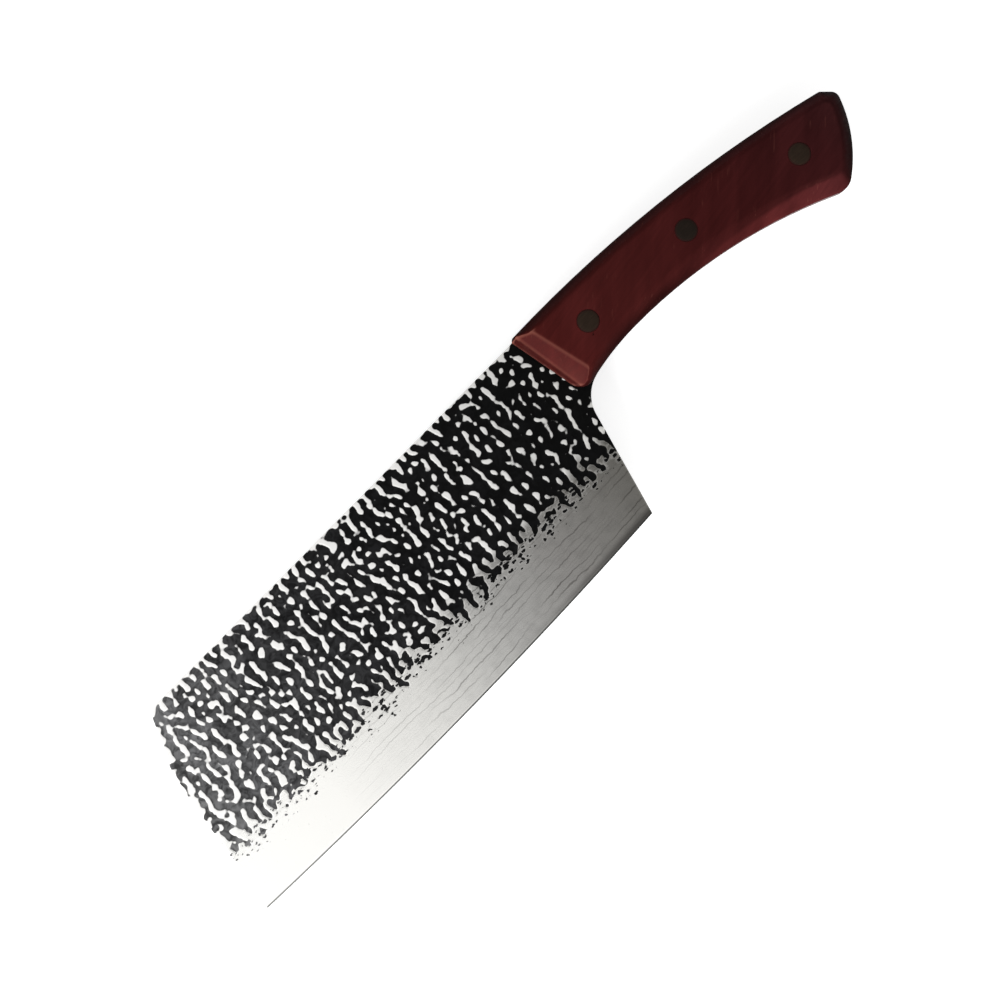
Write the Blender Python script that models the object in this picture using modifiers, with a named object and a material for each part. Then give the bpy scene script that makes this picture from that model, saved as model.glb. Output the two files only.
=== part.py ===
"""Nakiri kitchen knife: a blade with a full tang, two wooden scales and three two-part rivets.

Lengths are in metres and angles in degrees. The knife is drawn on a bench: the spine lies along
X at y = 0 with the handle towards +X, the cutting edge is towards -Y, and z = 0 is the middle
of the steel. One empty then carries everything, so that the finished knife lies on its right
side with the middle of its box over the world's origin.
"""

import math

import bmesh
import bpy
from mathutils import Matrix, Vector

# Blade, side view
EDGE_LENGTH = 0.180
HEEL_SETBACK = 0.0068
HEEL_HEIGHT = 0.0716
TIP_HEIGHT = 0.0728
EDGE_BELLY = 0.0021
HEEL_LEAN = 15.8
FRONT_LEAN = 9.8
NOSE_LEAN = 26.0
NOSE_HEIGHT = 0.0205
NOSE_BLEND = 0.030
SPINE_CORNER = 0.0055
CHOIL_RADIUS = 0.013

# Blade, cross-section
SPINE_THICKNESS = 0.0030
TIP_THICKNESS = 0.0022
GRIND_ANGLE = 2.7
EDGE_SHOULDER = 0.0005
EDGE_ANGLE = 17.0
SPINE_BREAK = 0.0003

# Handle, side view
HANDLE_LENGTH = 0.1335
CREST_X = 0.0132
CREST_RISE = 0.0010
CREST_RADIUS = 0.4587
WAIST_X = 0.0331
WAIST_DEPTH = 0.0247
WAIST_RADIUS = 0.1833
WAIST_FRONT_RADIUS = 0.0980
BUTT_SLANT = 0.0205
BUTT_BOW = 0.0034
BUTT_CLIP = 0.0049
BUTT_CLIP_ANGLE = 45.0
BUTT_CLIP_CORNER = 0.0016
BUTT_TOP_CORNER = 0.0030
BUTT_HEEL_CORNER = 0.0060
FRONT_X = 0.0004
HANDLE_FRONT_LEAN = 10.0
FRONT_TOP_CORNER = 0.0012
FRONT_HEEL_CORNER = 0.0050
SHOULDER_X = 0.0016

# Handle, cross-section
SCALE_THICKNESS = 0.0090
GLUE_FILM = 0.0002
CHAMFER_DEPTH = 0.0038
TOP_CHAMFER = 0.0031
BUTT_CHAMFER = 0.0030
WAIST_CHAMFER = 0.0042
WAIST_CHAMFER_SWEEP = 0.0043
WAIST_RIDGE_FRONT_RADIUS = 0.0820
SCALE_EASE = 0.0004
UPPER_FACET_TOP = 0.0066
UPPER_FACET_HEEL = 0.0078
UPPER_FACET_ANGLE = 35.0
LOWER_FACET_ANGLE = 63.0
LOWER_FACET_WALL = 0.0018

# Rivets
FRONT_RIVET_INSET = 0.0223
REAR_RIVET_INSET = 0.0241
FRONT_RIVET_LIFT = -0.00056
MIDDLE_RIVET_LIFT = 0.0002
REAR_RIVET_LIFT = 0.0018
HEAD_RADIUS = 0.0036
HEAD_THICKNESS = 0.0025
SOCKET_RADIUS = 0.0025
PIN_RADIUS = 0.0015
RIVET_CLEARANCE = 0.0002
PIN_END_CHAMFER = 0.0003
SOCKET_FLOOR = 0.0020
END_CLEARANCE = 0.0006

# Fineness of the curves
ROUND_STEPS = 32
SIDE_STEPS = 14
CORNER_STEPS = 6
GRIND_STATIONS = 24
GRIND_OVERRUN = 0.006
CUT_MARGIN = 0.002
WELD = 0.000002
SLIVER = 0.00003

# Sizes that follow from the ones above
SEAT = SPINE_THICKNESS / 2 + GLUE_FILM
HALF_GRIP = SEAT + SCALE_THICKNESS
HEAD_SEAT = HALF_GRIP - HEAD_THICKNESS
TIP_X = -HEEL_SETBACK - EDGE_LENGTH
STOCK_Y = -max(TIP_HEIGHT, HEEL_HEIGHT) - EDGE_BELLY - CUT_MARGIN


class Line:
    """A straight side through a point. The inside of the outline is on its left."""

    def __init__(self, point, direction):
        self.point = Vector(point)
        self.normal = Vector((-direction[1], direction[0])).normalized()

    def depth(self, spot):
        return (spot - self.point).dot(self.normal)

    def inward(self, spot):
        return self.normal

    def moved(self, distance):
        along = (self.normal.y, -self.normal.x)
        return Line(self.point + self.normal * distance, along)

    def between(self, start, end):
        return []


class Arc:
    """A round side. The inside of the outline is at its centre, or away from it if hollow."""

    def __init__(self, centre, radius, hollow=False):
        self.centre = Vector(centre)
        self.radius = radius
        self.way = -1 if hollow else 1

    def depth(self, spot):
        return self.way * (self.radius - (spot - self.centre).length)

    def inward(self, spot):
        return (self.centre - spot).normalized() * self.way

    def moved(self, distance):
        return Arc(self.centre, self.radius - self.way * distance, self.way < 0)

    def height(self, x, way):
        """Where the circle passes x, above its centre for way 1 and below it for way -1."""
        return self.centre.y + way * math.sqrt(self.radius ** 2 - (x - self.centre.x) ** 2)

    def between(self, start, end):
        return sweep(self.centre, start, end, SIDE_STEPS)


class Bend:
    """A hollow side of two round parts. They meet at its highest point, where both run level."""

    def __init__(self, highest, front_radius, rear_radius):
        self.highest = Vector(highest)
        self.front = Arc(self.highest - Vector((0, front_radius)), front_radius, hollow=True)
        self.rear = Arc(self.highest - Vector((0, rear_radius)), rear_radius, hollow=True)

    def part(self, x):
        return self.front if x < self.highest.x else self.rear

    def depth(self, spot):
        return self.part(spot.x).depth(spot)

    def inward(self, spot):
        return self.part(spot.x).inward(spot)

    def height(self, x, way):
        return self.part(x).height(x, way)

    def between(self, start, end):
        before = self.front.between(start, self.highest)
        return [*before, self.highest, *self.rear.between(self.highest, end)]


def sweep(centre, start, end, steps):
    """Points on the short arc about a centre, without its two ends."""
    first = start - centre
    last = end - centre
    turn = math.atan2(first.cross(last), first.dot(last))
    return [centre + Matrix.Rotation(turn * step / steps, 2) @ first for step in range(1, steps)]


def bowed(start, end, bow):
    """A round side from start to end that stands out by bow at its middle."""
    chord = Vector(end) - Vector(start)
    radius = (chord.length ** 2 / 4 + bow ** 2) / (2 * bow)
    inward = Vector((-chord.y, chord.x)).normalized()
    middle = (Vector(start) + Vector(end)) / 2
    return Arc(middle + inward * (radius - bow), radius)


def leaning(point, lean, way):
    """A straight side that leans back by an angle from upright. It runs up for way 1."""
    tilt = math.radians(lean)
    return Line(point, (way * math.sin(tilt), way * math.cos(tilt)))


def meet(side, following, depth, near):
    """The point that lies equally deep inside two sides, closest to a first guess."""
    spot = Vector(near)
    for _ in range(30):
        first = side.inward(spot)
        second = following.inward(spot)
        short = depth - side.depth(spot)
        shorter = depth - following.depth(spot)
        turn = first.cross(second)
        step = (short * second.y - shorter * first.y, shorter * first.x - short * second.x)
        spot += Vector(step) / turn
    return spot


def corner(side, following, radius, near):
    """Points of one rounded corner. A negative radius fills an inward corner."""
    centre = meet(side, following, radius, near)
    if radius == 0:
        return [centre]
    start = centre - side.inward(centre) * radius
    end = centre - following.inward(centre) * radius
    return [start, *sweep(centre, start, end, CORNER_STEPS), end]


def outline(corners):
    """The closed outline through corners of (side, next side, radius, first guess)."""
    rounded = [corner(*entry) for entry in corners]
    points = []
    for number, entry in enumerate(corners):
        following = rounded[(number + 1) % len(rounded)]
        points += rounded[number]
        points += entry[1].between(rounded[number][-1], following[0])
    return points


def handle_sides():
    """Top, front, underside, butt and clipped corner of the handle, seen from the left."""
    top = Arc((CREST_X, CREST_RISE - CREST_RADIUS), CREST_RADIUS)
    front = leaning((FRONT_X, 0), -HANDLE_FRONT_LEAN, -1)
    waist = Bend((WAIST_X, -WAIST_DEPTH), WAIST_FRONT_RADIUS, WAIST_RADIUS)
    butt = bowed(at(waist, HANDLE_LENGTH - BUTT_SLANT), at(top, HANDLE_LENGTH), BUTT_BOW)
    clip = leaning(at(top, HANDLE_LENGTH - BUTT_CLIP), -BUTT_CLIP_ANGLE, 1)
    return top, front, waist, butt, clip


def at(side, x):
    """The point of a round side's upper half at x."""
    return x, side.height(x, 1)


def front_corners(top, front, waist):
    return [
        (top, front, FRONT_TOP_CORNER, (FRONT_X, 0)),
        (front, waist, FRONT_HEEL_CORNER, (FRONT_X, -WAIST_DEPTH)),
    ]


def butt_corners(top, waist, butt, clip):
    return [
        (waist, butt, BUTT_HEEL_CORNER, at(waist, HANDLE_LENGTH - BUTT_SLANT)),
        (butt, clip, BUTT_TOP_CORNER, at(top, HANDLE_LENGTH)),
        (clip, top, BUTT_CLIP_CORNER, at(top, HANDLE_LENGTH - BUTT_CLIP)),
    ]


def handle_outline():
    top, front, waist, butt, clip = handle_sides()
    return outline([*front_corners(top, front, waist), *butt_corners(top, waist, butt, clip)])


def flat_side_outline():
    """The outline of a scale's flat side, inside the chamfers."""
    top, front, waist, butt, clip = handle_sides()
    highest = waist.highest + Vector((WAIST_CHAMFER_SWEEP, WAIST_CHAMFER))
    inner_top = top.moved(TOP_CHAMFER)
    inner_waist = Bend(highest, WAIST_RIDGE_FRONT_RADIUS, WAIST_RADIUS + WAIST_CHAMFER)
    inner_butt = butt.moved(BUTT_CHAMFER)
    inner_clip = clip.moved(BUTT_CHAMFER)
    return outline([
        *front_corners(inner_top, front, inner_waist),
        *butt_corners(inner_top, inner_waist, inner_butt, inner_clip),
    ])


def blank_outline():
    """The steel blank: blade and tang in one, with spare metal below the cutting edge."""
    top, _, waist, butt, clip = handle_sides()
    shoulder = Line((SHOULDER_X, 0), (0, -1))
    spine = Line((0, 0), (-1, 0))
    rise = TIP_HEIGHT - NOSE_HEIGHT
    knee = (TIP_X + rise * math.tan(math.radians(FRONT_LEAN)), -NOSE_HEIGHT)
    nose_x = knee[0] + NOSE_HEIGHT * math.tan(math.radians(NOSE_LEAN))
    nose = leaning(knee, NOSE_LEAN, -1)
    front = leaning((TIP_X, -TIP_HEIGHT), FRONT_LEAN, -1)
    stock = Line((0, STOCK_Y), (1, 0))
    heel_corner = (-HEEL_SETBACK, -HEEL_HEIGHT)
    heel = leaning(heel_corner, HEEL_LEAN, 1)
    return outline([
        (top, shoulder, 0, (SHOULDER_X, 0)),
        (shoulder, spine, 0, (SHOULDER_X, 0)),
        (spine, nose, SPINE_CORNER, (nose_x, 0)),
        (nose, front, NOSE_BLEND, knee),
        (front, stock, 0, (TIP_X, STOCK_Y)),
        (stock, heel, 0, heel_corner),
        (heel, waist, -CHOIL_RADIUS, (CHOIL_RADIUS, -WAIST_DEPTH)),
        *butt_corners(top, waist, butt, clip),
    ])


def edge_arc():
    return bowed((TIP_X, -TIP_HEIGHT), (-HEEL_SETBACK, -HEEL_HEIGHT), EDGE_BELLY)


def handle_middle(x):
    """Height of the line midway between the handle's top and underside."""
    top, _, waist, _, _ = handle_sides()
    return (top.height(x, 1) + waist.height(x, 1)) / 2


def rivet_places():
    """Name and axis of each rivet along the middle of the handle."""
    front = FRONT_X + FRONT_RIVET_INSET
    rear = HANDLE_LENGTH - REAR_RIVET_INSET
    stations = [
        ("front", front, FRONT_RIVET_LIFT),
        ("middle", (front + rear) / 2, MIDDLE_RIVET_LIFT),
        ("rear", rear, REAR_RIVET_LIFT),
    ]
    return [(name, Vector((x, handle_middle(x) + lift, 0))) for name, x, lift in stations]


def new_collection(name):
    collection = bpy.data.collections.new(name)
    bpy.context.scene.collection.children.link(collection)
    return collection


def new_material(name, colour, roughness, metallic):
    material = bpy.data.materials.new(name)
    material.use_nodes = True
    surface = material.node_tree.nodes["Principled BSDF"]
    surface.inputs["Base Color"].default_value = (*colour, 1.0)
    surface.inputs["Roughness"].default_value = roughness
    surface.inputs["Metallic"].default_value = metallic
    material.diffuse_color = (*colour, 1.0)
    return material


def new_object(name, mesh, collection, material=None):
    made = bpy.data.objects.new(name, mesh)
    collection.objects.link(made)
    if material:
        mesh.materials.clear()
        mesh.materials.append(material)
    return made


def as_mesh(drawn):
    """The finished mesh of a drawn object, which is then removed."""
    bpy.context.view_layer.update()
    mesh = bpy.data.meshes.new_from_object(drawn.evaluated_get(bpy.context.evaluated_depsgraph_get()))
    bpy.data.objects.remove(drawn)
    return mesh


def plate(name, points, half_thickness):
    """Mesh of a flat outline with both sides filled, drawn as a curve and then welded."""
    curve = bpy.data.curves.new(name, "CURVE")
    curve.dimensions = "2D"
    curve.fill_mode = "BOTH"
    curve.extrude = half_thickness
    spline = curve.splines.new("POLY")
    spline.points.add(len(points) - 1)
    for point, place in zip(spline.points, points):
        point.co = (place.x, place.y, 0, 1)
    spline.use_cyclic_u = True
    mesh = as_mesh(new_object(name, curve, bpy.context.scene.collection))
    shape = bmesh.new()
    shape.from_mesh(mesh)
    bmesh.ops.remove_doubles(shape, verts=shape.verts, dist=WELD)
    bmesh.ops.dissolve_limit(
        shape,
        angle_limit=math.radians(0.1),
        verts=shape.verts,
        edges=shape.edges,
        delimit={"NORMAL"},
    )
    bmesh.ops.recalc_face_normals(shape, faces=shape.faces)
    shape.to_mesh(mesh)
    shape.free()
    return mesh


def loft(rings):
    """A closed bmesh through rings of equally many points, with a flat face at each end."""
    shape = bmesh.new()
    made = [[shape.verts.new(place) for place in ring] for ring in rings]
    for lower, upper in zip(made, made[1:]):
        for number in range(len(lower)):
            shape.faces.new((lower[number - 1], lower[number], upper[number], upper[number - 1]))
    shape.faces.new(made[0])
    shape.faces.new(made[-1])
    bmesh.ops.recalc_face_normals(shape, faces=shape.faces)
    return shape


def finish(shape, name):
    mesh = bpy.data.meshes.new(name)
    shape.to_mesh(mesh)
    shape.free()
    return mesh


def turned(name, profile, collection, material=None):
    """A turned piece. The profile is (radius, height), down the outer side from the axis."""
    mesh = bpy.data.meshes.new(name)
    places = [(radius, 0, height) for radius, height in profile]
    mesh.from_pydata(places, [(number, number + 1) for number in range(len(places) - 1)], [])
    drawn = new_object(name, mesh, collection)
    screw = drawn.modifiers.new("Turn", "SCREW")
    screw.steps = ROUND_STEPS
    screw.render_steps = ROUND_STEPS
    screw.use_merge_vertices = True
    screw.merge_threshold = WELD
    solid = as_mesh(drawn)
    solid.name = name
    solid.shade_smooth()
    solid.set_sharp_from_angle(angle=math.radians(30))
    return new_object(name, solid, collection, material)


def cut(target, cutter):
    """Leave the cutter's shape out of the target."""
    boolean = target.modifiers.new(cutter.name, "BOOLEAN")
    boolean.operation = "DIFFERENCE"
    boolean.solver = "EXACT"
    boolean.object = cutter


def steel_half_thickness(x):
    """Half of the blade's thickness between its flats, thinner from the handle to the tip."""
    share = max(x / TIP_X, 0.0)
    return (SPINE_THICKNESS + (TIP_THICKNESS - SPINE_THICKNESS) * share) / 2


def blank_mesh():
    """The blank with its spine, nose and heel eased, drawn out thinner towards the tip."""
    mesh = plate("blade", blank_outline(), SPINE_THICKNESS / 2)
    shape = bmesh.new()
    shape.from_mesh(mesh)
    rim = [
        edge for edge in shape.edges
        if edge.is_manifold
        and edge.calc_face_angle() > math.radians(60)
        and abs(edge.verts[0].co.z - edge.verts[1].co.z) < WELD
        and max(vertex.co.x for vertex in edge.verts) < SHOULDER_X - WELD
        and max(vertex.co.y for vertex in edge.verts) > STOCK_Y + WELD
    ]
    bmesh.ops.bevel(shape, geom=rim, offset=SPINE_BREAK, segments=1, affect="EDGES", clamp_overlap=True)
    bmesh.ops.bisect_plane(
        shape,
        geom=[*shape.verts, *shape.edges, *shape.faces],
        plane_co=(0, 0, 0),
        plane_no=(1, 0, 0),
    )
    for vertex in shape.verts:
        if vertex.co.x < 0:
            vertex.co.z *= 2 * steel_half_thickness(vertex.co.x) / SPINE_THICKNESS
    bmesh.ops.recalc_face_normals(shape, faces=shape.faces)
    shape.to_mesh(mesh)
    shape.free()
    return mesh


def grind_section(x, edge):
    """Section of the grinding cutter: micro-bevel past the middle plane, then the main bevel."""
    apex_y = edge.height(x, -1)
    shoulder_z = EDGE_SHOULDER / 2
    steep = math.tan(math.radians(EDGE_ANGLE))
    shallow = math.tan(math.radians(GRIND_ANGLE))
    shoulder_y = apex_y + shoulder_z / steep
    run_out_z = SPINE_THICKNESS / 2 + SPINE_BREAK
    run_out_y = shoulder_y + (run_out_z - shoulder_z) / shallow
    clear_z = run_out_z + CUT_MARGIN
    far_y = STOCK_Y - CUT_MARGIN
    below_z = -SPINE_BREAK
    return [
        (x, far_y, clear_z),
        (x, far_y, below_z),
        (x, apex_y + below_z / steep, below_z),
        (x, shoulder_y, shoulder_z),
        (x, run_out_y, run_out_z),
        (x, run_out_y, clear_z),
    ]


def grind_cutter(collection):
    """What the grinder takes off the left side of the blade, from past the tip to past the heel."""
    edge = edge_arc()
    first = TIP_X - GRIND_OVERRUN
    last = -HEEL_SETBACK + 2 * GRIND_OVERRUN
    step = (last - first) / GRIND_STATIONS
    rings = [grind_section(first + step * number, edge) for number in range(GRIND_STATIONS + 1)]
    cutter = new_object("grind", finish(loft(rings), "grind"), collection)
    return cutter


def make_blade(parts, cutters, material):
    blade = new_object("blade", blank_mesh(), parts, material)
    cut(blade, grind_cutter(cutters))
    mirror = blade.modifiers.new("Both sides", "MIRROR")
    mirror.use_axis = (False, False, True)
    mirror.use_bisect_axis = (False, False, True)
    mirror.bisect_threshold = WELD
    mirror.merge_threshold = WELD
    return blade


def facet(shape, start, end, height, angle):
    """Grind one flat across the front of a left scale, down from a line at a height."""
    along = Vector(end) - Vector(start)
    ahead = Vector((-along.y, along.x)).normalized()
    tilt = math.radians(angle)
    normal = Vector((ahead.x * math.sin(tilt), ahead.y * math.sin(tilt), math.cos(tilt)))
    ground = bmesh.ops.bisect_plane(
        shape,
        geom=[*shape.verts, *shape.edges, *shape.faces],
        dist=WELD,
        plane_co=(*start, height),
        plane_no=normal,
        clear_outer=True,
    )
    rim = [entry for entry in ground["geom_cut"] if isinstance(entry, bmesh.types.BMEdge)]
    bmesh.ops.contextual_create(shape, geom=rim)


def scale_mesh(name, side):
    """A scale: straight walls, a chamfer to the flat side, and two flats across the front."""
    rim = handle_outline()
    flat = flat_side_outline()
    wall_z = HALF_GRIP - CHAMFER_DEPTH
    shape = loft([
        [(place.x, place.y, SEAT) for place in rim],
        [(place.x, place.y, wall_z) for place in rim],
        [(place.x, place.y, HALF_GRIP) for place in flat],
    ])
    slope = math.tan(math.radians(HANDLE_FRONT_LEAN))
    front_top = (FRONT_X, 0)
    front_heel = (FRONT_X + WAIST_DEPTH * slope, -WAIST_DEPTH)
    upper_top = (front_top[0] + UPPER_FACET_TOP, front_top[1])
    upper_heel = (front_heel[0] + UPPER_FACET_HEEL, front_heel[1])
    facet(shape, upper_heel, upper_top, HALF_GRIP, UPPER_FACET_ANGLE)
    facet(shape, front_heel, front_top, SEAT + LOWER_FACET_WALL, LOWER_FACET_ANGLE)
    bmesh.ops.scale(shape, vec=(1, 1, side), verts=shape.verts)
    bmesh.ops.recalc_face_normals(shape, faces=shape.faces)
    return finish(shape, name)


def make_scale(name, side, parts, material):
    scale = new_object(name, scale_mesh(name, side), parts, material)
    ease = scale.modifiers.new("Eased edges", "BEVEL")
    ease.width = SCALE_EASE
    ease.segments = 2
    ease.limit_method = "ANGLE"
    ease.angle_limit = math.radians(22)
    tidy = scale.modifiers.new("No slivers", "WELD")
    tidy.merge_threshold = SLIVER
    return scale


def make_glue(name, side, parts, material):
    """The film of epoxy between the tang and one scale."""
    film = new_object(name, plate(name, handle_outline(), GLUE_FILM / 2), parts, material)
    film.location.z = side * (SEAT - GLUE_FILM / 2)
    return film


def rivet_hole(name, place, cutters):
    """Hole for one rivet: wide at both ends for the heads, narrow between their seats."""
    wide = HEAD_RADIUS + RIVET_CLEARANCE
    narrow = SOCKET_RADIUS + RIVET_CLEARANCE
    end = HALF_GRIP + CUT_MARGIN
    profile = [
        (0, end),
        (wide, end),
        (wide, HEAD_SEAT),
        (narrow, HEAD_SEAT),
        (narrow, -HEAD_SEAT),
        (wide, -HEAD_SEAT),
        (wide, -end),
        (0, -end),
    ]
    cutter = turned("hole_" + name, profile, cutters)
    cutter.location = place
    return cutter


def make_rivet_socket(name, place, parts, material):
    """The left half of a rivet: a flush head on a tube that reaches through the tang."""
    bore = PIN_RADIUS + RIVET_CLEARANCE
    mouth_z = -HEAD_SEAT + END_CLEARANCE
    floor_z = HEAD_SEAT - SOCKET_FLOOR
    socket = turned("rivet_socket_" + name, [
        (0, HALF_GRIP),
        (HEAD_RADIUS, HALF_GRIP),
        (HEAD_RADIUS, HEAD_SEAT),
        (SOCKET_RADIUS, HEAD_SEAT),
        (SOCKET_RADIUS, mouth_z),
        (bore, mouth_z),
        (bore, floor_z),
        (0, floor_z),
    ], parts, material)
    socket.location = place
    return socket


def make_rivet_pin(name, place, parts, material):
    """The right half of a rivet: a flush head on a pin that is driven into the socket."""
    tip_z = HEAD_SEAT - SOCKET_FLOOR - END_CLEARANCE
    pin = turned("rivet_pin_" + name, [
        (0, tip_z),
        (PIN_RADIUS - PIN_END_CHAMFER, tip_z),
        (PIN_RADIUS, tip_z - PIN_END_CHAMFER),
        (PIN_RADIUS, -HEAD_SEAT),
        (HEAD_RADIUS, -HEAD_SEAT),
        (HEAD_RADIUS, -HALF_GRIP),
        (0, -HALF_GRIP),
    ], parts, material)
    pin.location = place
    return pin


def box_of(objects):
    """Lowest and highest corner of the finished objects."""
    bpy.context.view_layer.update()
    graph = bpy.context.evaluated_depsgraph_get()
    places = []
    for each in objects:
        shown = each.evaluated_get(graph)
        mesh = shown.to_mesh()
        places += [shown.matrix_world @ vertex.co for vertex in mesh.vertices]
        shown.to_mesh_clear()
    lowest = Vector([min(place[axis] for place in places) for axis in range(3)])
    highest = Vector([max(place[axis] for place in places) for axis in range(3)])
    return lowest, highest


def build():
    for old in list(bpy.data.objects):
        bpy.data.objects.remove(old)
    parts = new_collection("nakiri_knife")
    cutters = new_collection("cutters")
    steel = new_material("forged_steel", (0.16, 0.16, 0.155), 0.35, 1.0)
    wood = new_material("red_wood", (0.075, 0.010, 0.010), 0.35, 0.0)
    black = new_material("blackened_steel", (0.020, 0.018, 0.015), 0.45, 1.0)
    glue = new_material("dark_epoxy", (0.020, 0.010, 0.008), 0.30, 0.0)

    holed = [
        make_blade(parts, cutters, steel),
        make_glue("epoxy_bed_left", 1, parts, glue),
        make_glue("epoxy_bed_right", -1, parts, glue),
        make_scale("handle_scale_left", 1, parts, wood),
        make_scale("handle_scale_right", -1, parts, wood),
    ]
    for name, place in rivet_places():
        hole = rivet_hole(name, place, cutters)
        for piece in holed:
            cut(piece, hole)
        make_rivet_socket(name, place, parts, black)
        make_rivet_pin(name, place, parts, black)
    for cutter in cutters.objects:
        cutter.hide_render = True
        cutter.display_type = "WIRE"

    bench = bpy.data.objects.new("bench", None)
    parts.objects.link(bench)
    pieces = [each for each in parts.objects if each.type == "MESH"]
    lowest, highest = box_of(pieces)
    for each in [*pieces, *cutters.objects]:
        each.parent = bench
    bench.location = (-(lowest.x + highest.x) / 2, -(lowest.y + highest.y) / 2, -lowest.z)


build()
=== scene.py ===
"""Looks of a nakiri kitchen knife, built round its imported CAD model.

Lengths are in metres unless a name says otherwise. The knife's own drawing frame is the bench:
the spine lies along X at y = 0 with the handle towards +X, the cutting edge is towards -Y, and
z = 0 is the middle of the steel. Bench gives the place of that frame in the CAD's frame.
"""

from __future__ import annotations

import logging
import math
from dataclasses import dataclass, field
from enum import Enum

import bpy
import numpy as np
from mathutils import Matrix, Vector
from mathutils.bvhtree import BVHTree


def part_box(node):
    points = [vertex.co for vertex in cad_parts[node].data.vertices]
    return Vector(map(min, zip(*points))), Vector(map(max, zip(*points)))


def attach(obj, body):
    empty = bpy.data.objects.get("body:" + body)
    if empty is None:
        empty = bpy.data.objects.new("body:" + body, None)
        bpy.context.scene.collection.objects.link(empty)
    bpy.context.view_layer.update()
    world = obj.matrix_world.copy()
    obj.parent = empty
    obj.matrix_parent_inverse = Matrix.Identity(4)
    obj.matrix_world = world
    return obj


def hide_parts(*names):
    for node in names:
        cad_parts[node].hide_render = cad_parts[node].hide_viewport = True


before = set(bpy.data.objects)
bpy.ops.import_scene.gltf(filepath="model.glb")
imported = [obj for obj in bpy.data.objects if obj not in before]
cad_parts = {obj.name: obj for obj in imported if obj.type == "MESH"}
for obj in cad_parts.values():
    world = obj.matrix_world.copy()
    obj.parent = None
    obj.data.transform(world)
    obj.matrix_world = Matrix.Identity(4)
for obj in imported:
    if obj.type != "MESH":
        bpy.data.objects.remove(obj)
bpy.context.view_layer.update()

log = logging.getLogger("nakiri")

Piece = bpy.types.Object
Socket = bpy.types.NodeSocket


class Side(Enum):
    """The two sides of the knife, with the way each one faces."""

    LEFT = 1
    RIGHT = -1

    @property
    def word(self) -> str:
        """The side's name as the CAD nodes spell it."""
        return self.name.lower()


@dataclass(frozen=True)
class Bench:
    """Places the drawing frame by the corners of the CAD blade."""

    tip_x: float = -0.1868
    crest_y: float = 0.0010

    @property
    def origin(self) -> Vector:
        """The bench's origin in the CAD's frame."""
        low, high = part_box("blade")
        return Vector((low.x - self.tip_x, high.y - self.crest_y, (low.z + high.z) / 2))

    def at(self, x: float, y: float, z: float) -> Vector:
        """A bench point in the CAD's frame."""
        return self.origin + Vector((x, y, z))


BENCH = Bench()

# How a MapRange node eases its ends, and how close two places count as one.
EASED = {"interpolation_type": "SMOOTHSTEP"}
WELD = 1e-6


def linear(code: str) -> tuple[float, float, float, float]:
    """Turn an sRGB hex colour into the linear one that Blender's nodes take.

    Args:
        code: Six hex digits after a #.

    Returns:
        Red, green, blue and alpha.
    """
    parts = [int(code[start:start + 2], 16) / 255 for start in (1, 3, 5)]
    values = [part / 12.92 if part <= 0.04045 else ((part + 0.055) / 1.055) ** 2.4 for part in parts]
    return (*values, 1.0)


class Nodes:
    """The nodes of a material or of the world."""

    def __init__(self, owner: bpy.types.Material | bpy.types.World) -> None:
        """Start from the one shader that Blender gives.

        Args:
            owner: The material or the world.
        """
        owner.use_nodes = True
        self.tree = owner.node_tree

    def put(self, value: object, socket: Socket) -> None:
        """Link an output to a socket, or set the socket to a value.

        Args:
            value: The output or the value.
            socket: The socket.
        """
        if isinstance(value, Socket):
            self.tree.links.new(value, socket)
        else:
            socket.default_value = value

    def add(self, kind: str, *inputs: object, out: str = "", **settings: object) -> Socket:
        """Add one node.

        Args:
            kind: The node's type, without "ShaderNode".
            *inputs: Values or outputs for the sockets that are in use, in their order.
            out: The output's name, or nothing for the first one in use.
            **settings: Sockets by their names, which start with a capital, the node's own
                properties, which don't, and "stops", a colour ramp's (place, hex) pairs.

        Returns:
            The node's output.
        """
        node = self.tree.nodes.new(f"ShaderNode{kind}")
        stops = settings.pop("stops", [])
        while stops and len(node.color_ramp.elements) < len(stops):
            node.color_ramp.elements.new(1.0)
        for number, (place, code) in enumerate(stops):
            node.color_ramp.elements[number].position = place
            node.color_ramp.elements[number].color = linear(code)
        for name, value in settings.items():
            if name[0].islower():
                setattr(node, name, value)
        for value, socket in zip(inputs, [socket for socket in node.inputs if socket.enabled]):
            self.put(value, socket)
        for name, value in settings.items():
            if name[0].isupper():
                self.put(value, node.inputs[name])
        return node.outputs[out] if out else next(socket for socket in node.outputs if socket.enabled)


class Finish(Nodes):
    """A material in the making, with its Object coordinates at hand."""

    name = "plain"

    def __init__(self, name: str | None = None) -> None:
        """Start the material.

        Args:
            name: Its name, where it isn't the finish's own.
        """
        self.material = bpy.data.materials.new(name or self.name)
        super().__init__(self.material)
        self.place = self.add("TexCoord", out="Object")

    def surface(self, sockets: dict[str, object]) -> bpy.types.Material:
        """Set or link the surface shader's sockets.

        Args:
            sockets: A value or an output for each socket's name.

        Returns:
            The finished material.
        """
        shader = self.tree.nodes["Principled BSDF"]
        for name, value in sockets.items():
            self.put(value, shader.inputs[name])
        return self.material


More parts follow.
